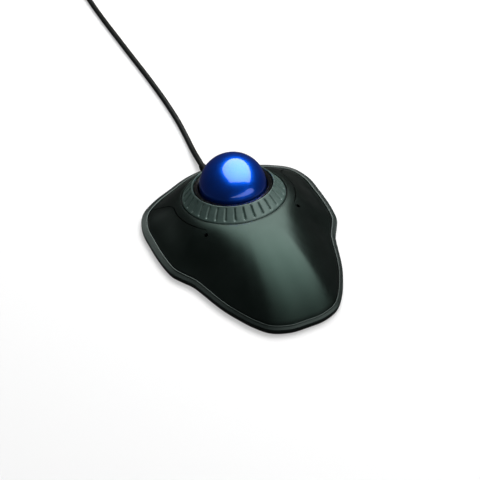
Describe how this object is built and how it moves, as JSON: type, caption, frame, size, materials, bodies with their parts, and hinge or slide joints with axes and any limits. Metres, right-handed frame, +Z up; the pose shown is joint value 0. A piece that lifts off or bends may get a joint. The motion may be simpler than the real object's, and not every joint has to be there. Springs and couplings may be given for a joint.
{
  "type": "trackball mouse",
  "caption": "Wired finger-operated trackball mouse: blue ball in a ribbed scroll ring, low black shell with a button on each side and a gray rim.",
  "frame": {"origin": "middle of the mouse body's box, on the surface that it stands on; the cord and its pieces are not counted", "axes": "+X to the user's right, +Y from the palm tip towards the cord, +Z up"},
  "size_m": [0.1238, 0.3982, 0.0457],
  "materials": {
    "shell_black": "satin near-black moulded plastic",
    "rim_gray": "satin gray-green plastic",
    "ring_gray": "fine matte gray-green plastic",
    "ball_blue": "polished deep blue resin",
    "collar_black": "gloss black plastic",
    "inner_black": "matte black plastic",
    "ceramic": "polished ceramic",
    "board_green": "solder mask over fibreglass",
    "chip_black": "matte epoxy",
    "lens_clear": "clear moulded lens",
    "plunger_red": "matte",
    "ribbon_amber": "polyimide film",
    "steel": "plated steel",
    "foot_rubber": "matte rubber",
    "cord_black": "satin cable jacket",
    "contact_white": "matte"
  },
  "bodies": {
    "body": {"top_cover": "shell_black", "rim_band": "rim_gray", "bottom_shell": "inner_black", "ring_track": "inner_black", "ball_cup": "collar_black", "bearing_bead_1": "ceramic", "bearing_bead_2": "ceramic", "bearing_bead_3": "ceramic", "main_board": "board_green", "left_switch": "chip_black", "right_switch": "chip_black", "sensor_board": "board_green", "sensor_chip": "chip_black", "sensor_lens": "lens_clear", "sensor_lamp": "lens_clear", "sensor_ribbon": "ribbon_amber", "ribbon_connector": "contact_white", "infrared_emitter": "chip_black", "photo_sensor": "chip_black", "controller_chip": "chip_black", "crystal": "steel", "capacitor": "chip_black", "cord_connector": "contact_white", "case_screw_1": "steel", "case_screw_2": "steel", "case_screw_3": "steel", "case_screw_4": "steel", "board_screw_1": "steel", "board_screw_2": "steel", "board_screw_3": "steel", "foot_1": "foot_rubber", "foot_2": "foot_rubber", "foot_3": "foot_rubber", "foot_4": "foot_rubber", "strain_relief": "cord_black", "inner_lead": "cord_black", "cord": "cord_black", "cord_end": "cord_black", "cord_coil": "cord_black", "cable_tie": "inner_black", "plug_grip": "cord_black", "plug_shell": "steel", "plug_tongue": "contact_white"},
    "ball": {"ball": "ball_blue"},
    "ring": {"scroll_ring": "ring_gray", "encoder_ring": "chip_black"},
    "left_button": {"left_button": "shell_black"},
    "right_button": {"right_button": "shell_black"},
    "left_plunger": {"left_plunger": "plunger_red"},
    "right_plunger": {"right_plunger": "plunger_red"}
  },
  "joints": [
    {"name": "ball_roll", "type": "hinge", "parent": "body", "child": "ball", "pos_m": [0, 0.0282, 0.02565], "axis": [1, 0, 0], "continuous": true},
    {"name": "ring_turn", "type": "hinge", "parent": "body", "child": "ring", "pos_m": [0, 0.0282, 0.02565], "axis": [0, 0.1857, 0.9826], "continuous": true},
    {"name": "left_button_flex", "type": "hinge", "parent": "body", "child": "left_button", "pos_m": [-0.0294, 0.001, 0.013], "axis": [-0.7071, -0.7071, 0], "range_deg": [0, 1.5], "stiffness_Nm_per_rad": 0.5, "springref_deg": -0.57},
    {"name": "left_plunger_travel", "type": "slide", "parent": "body", "child": "left_plunger", "axis": [0, 0, -1], "range_m": [0, 0.0006]},
    {"name": "right_button_flex", "type": "hinge", "parent": "body", "child": "right_button", "pos_m": [0.0294, 0.001, 0.013], "axis": [-0.7071, 0.7071, 0], "range_deg": [0, 1.5], "stiffness_Nm_per_rad": 0.5, "springref_deg": -0.57},
    {"name": "right_plunger_travel", "type": "slide", "parent": "body", "child": "right_plunger", "axis": [0, 0, -1], "range_m": [0, 0.0006]}
  ],
  "couplings": [
    {"joint": "left_plunger_travel", "follows": "left_button_flex", "m_per_rad": 0.02058},
    {"joint": "right_plunger_travel", "follows": "right_button_flex", "m_per_rad": 0.02058}
  ]
}
